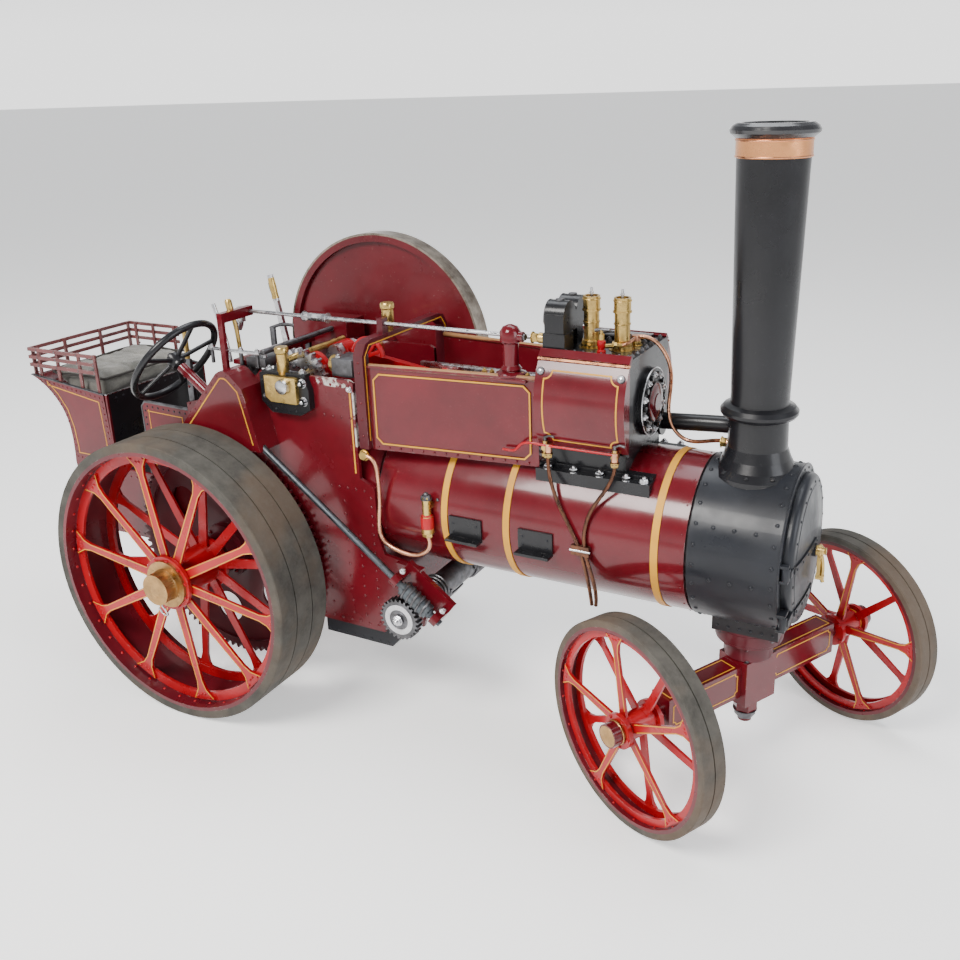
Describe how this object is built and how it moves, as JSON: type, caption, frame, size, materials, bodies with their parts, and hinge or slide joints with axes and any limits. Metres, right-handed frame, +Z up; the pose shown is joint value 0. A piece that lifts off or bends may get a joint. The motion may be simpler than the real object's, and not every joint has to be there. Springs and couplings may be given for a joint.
{
  "type": "live steam engine",
  "caption": "Live steam model road traction engine with geared rear drive, chain steering front axle, horizontal boiler, overhead cylinder, side flywheel and a rear tender with seat.",
  "frame": {"origin": "on the ground under the middle of the overall length and width", "axes": "+X forward, +Y to the left, +Z up"},
  "size_m": [1.4991, 0.578, 0.888],
  "materials": {
    "maroon_paint": "gloss",
    "wheel_red": "gloss",
    "black_paint": "satin",
    "bright_steel": "polished",
    "dark_iron": "rough",
    "brass": "polished",
    "copper": "polished",
    "tyre_rubber": "worn",
    "cushion_cloth": "soft"
  },
  "bodies": {
    "chassis": {"boiler_barrel": "dark_iron", "boiler_cladding": "maroon_paint", "boiler_bands": "brass", "fire_tubes": "dark_iron", "firebox": "maroon_paint", "ashpan": "black_paint", "smokebox": "black_paint", "chimney": "black_paint", "chimney_cap": "copper", "hornplate_right": "maroon_paint", "hornplate_left": "maroon_paint", "spectacle_plate": "maroon_paint", "motion_plates": "maroon_paint", "slide_bars": "bright_steel", "cylinder_block": "black_paint", "cylinder_cover": "black_paint", "cylinder_cladding": "maroon_paint", "safety_valves": "brass", "lubricator": "black_paint", "crank_brackets": "black_paint", "bearing_brasses": "brass", "guards": "maroon_paint", "oil_cups": "brass", "tender_body": "maroon_paint", "footplate": "black_paint", "tender_rails": "maroon_paint", "seat_cushion": "cushion_cloth", "steering_bracket": "maroon_paint", "perch_bracket": "black_paint", "copper_pipes": "copper", "clack_valve": "brass", "boiler_brackets": "black_paint"},
    "rear_axle_set": {"rear_axle": "bright_steel", "rear_wheel_right": "wheel_red", "rear_wheel_left": "wheel_red", "rear_tyre_right": "tyre_rubber", "rear_tyre_left": "tyre_rubber", "rear_hub_caps": "brass", "final_gear": "maroon_paint"},
    "second_shaft_set": {"second_shaft": "bright_steel"},
    "crankshaft_set": {"crankshaft": "bright_steel", "flywheel": "maroon_paint"},
    "connecting_rod_body": {"connecting_rod": "wheel_red"},
    "crosshead_body": {"crosshead": "bright_steel"},
    "eccentric_rod_body": {"eccentric_rod": "wheel_red"},
    "slide_valve_body": {"slide_valve": "bright_steel"},
    "regulator_body": {"regulator_rod": "bright_steel"},
    "reversing_lever_body": {"reversing_lever": "bright_steel"},
    "front_axle_set": {"front_axle": "maroon_paint"},
    "front_wheel_right_set": {"front_wheel_right": "wheel_red", "front_tyre_right": "tyre_rubber"},
    "front_wheel_left_set": {"front_wheel_left": "wheel_red", "front_tyre_left": "tyre_rubber"},
    "steering_shaft_set": {"steering_shaft": "bright_steel", "steering_wheel": "black_paint"},
    "chain_barrel_body": {"chain_barrel": "black_paint"},
    "smokebox_door_body": {"smokebox_door": "black_paint"},
    "door_handle_body": {"door_handle": "brass"},
    "firehole_door_body": {"firehole_door": "black_paint"}
  },
  "joints": [
    {"name": "rear_axle_spin", "type": "hinge", "parent": "chassis", "child": "rear_axle_set", "pos_m": [-0.3185, 0, 0.2286], "axis": [0, 1, 0], "continuous": true},
    {"name": "second_shaft_spin", "type": "hinge", "parent": "chassis", "child": "second_shaft_set", "pos_m": [-0.26572, 0, 0.44629], "axis": [0, 1, 0], "continuous": true},
    {"name": "crankshaft_spin", "type": "hinge", "parent": "chassis", "child": "crankshaft_set", "pos_m": [-0.1605, 0, 0.526], "axis": [0, 1, 0], "continuous": true},
    {"name": "connecting_rod_swing", "type": "hinge", "parent": "crankshaft_set", "child": "connecting_rod_body", "pos_m": [-0.1465, 0, 0.55025], "axis": [0, 1, 0], "continuous": true},
    {"name": "eccentric_rod_swing", "type": "hinge", "parent": "crankshaft_set", "child": "eccentric_rod_body", "pos_m": [-0.16802, -0.05, 0.52874], "axis": [0, 1, 0], "continuous": true},
    {"name": "crosshead_slide", "type": "slide", "parent": "chassis", "child": "crosshead_body", "axis": [1, 0, 0], "range_m": [-0.038, 0.014]},
    {"name": "slide_valve_slide", "type": "slide", "parent": "chassis", "child": "slide_valve_body", "axis": [1, 0, 0], "range_m": [-0.008, 0.008]},
    {"name": "regulator_slide", "type": "slide", "parent": "chassis", "child": "regulator_body", "axis": [1, 0, 0], "range_m": [-0.012, 0]},
    {"name": "reversing_lever_turn", "type": "hinge", "parent": "chassis", "child": "reversing_lever_body", "pos_m": [-0.3285, 0.1005, 0.43], "axis": [0, 1, 0], "range_deg": [-14, 14]},
    {"name": "front_axle_steer", "type": "hinge", "parent": "chassis", "child": "front_axle_set", "pos_m": [0.5135, 0, 0.1457], "axis": [0, 0, 1], "range_deg": [-2, 58]},
    {"name": "front_wheel_right_spin", "type": "hinge", "parent": "front_axle_set", "child": "front_wheel_right_set", "pos_m": [0.41346, -0.18816, 0.1457], "axis": [0.4695, 0.8829, 0], "continuous": true},
    {"name": "front_wheel_left_spin", "type": "hinge", "parent": "front_axle_set", "child": "front_wheel_left_set", "pos_m": [0.61354, 0.18816, 0.1457], "axis": [0.4695, 0.8829, 0], "continuous": true},
    {"name": "steering_shaft_turn", "type": "hinge", "parent": "chassis", "child": "steering_shaft_set", "pos_m": [-0.3605, -0.148, 0.551], "axis": [0.7923, 0, -0.6101], "range_deg": [-740, 6300]},
    {"name": "chain_barrel_turn", "type": "hinge", "parent": "chassis", "child": "chain_barrel_body", "pos_m": [0.0315, 0, 0.192], "axis": [0, 1, 0], "range_deg": [-30, 245]},
    {"name": "smokebox_door_swing", "type": "hinge", "parent": "chassis", "child": "smokebox_door_body", "pos_m": [0.5785, -0.106, 0.3485], "axis": [0, 0, 1], "range_deg": [-110, 0]},
    {"name": "door_handle_turn", "type": "hinge", "parent": "smokebox_door_body", "child": "door_handle_body", "pos_m": [0.5985, 0, 0.3485], "axis": [1, 0, 0], "range_deg": [0, 90]},
    {"name": "firehole_door_swing", "type": "hinge", "parent": "chassis", "child": "firehole_door_body", "pos_m": [-0.1745, -0.04, 0.3], "axis": [0, 0, 1], "range_deg": [0, 100]}
  ],
  "couplings": [
    {"joint": "second_shaft_spin", "follows": "rear_axle_spin", "ratio": -4.6},
    {"joint": "crankshaft_spin", "follows": "rear_axle_spin", "ratio": 9.2},
    {"joint": "connecting_rod_swing", "follows": "rear_axle_spin", "ratio": -9.2},
    {"joint": "eccentric_rod_swing", "follows": "rear_axle_spin", "ratio": -9.2},
    {"joint": "chain_barrel_turn", "follows": "front_axle_steer", "ratio": 4},
    {"joint": "steering_shaft_turn", "follows": "front_axle_steer", "ratio": 104}
  ]
}
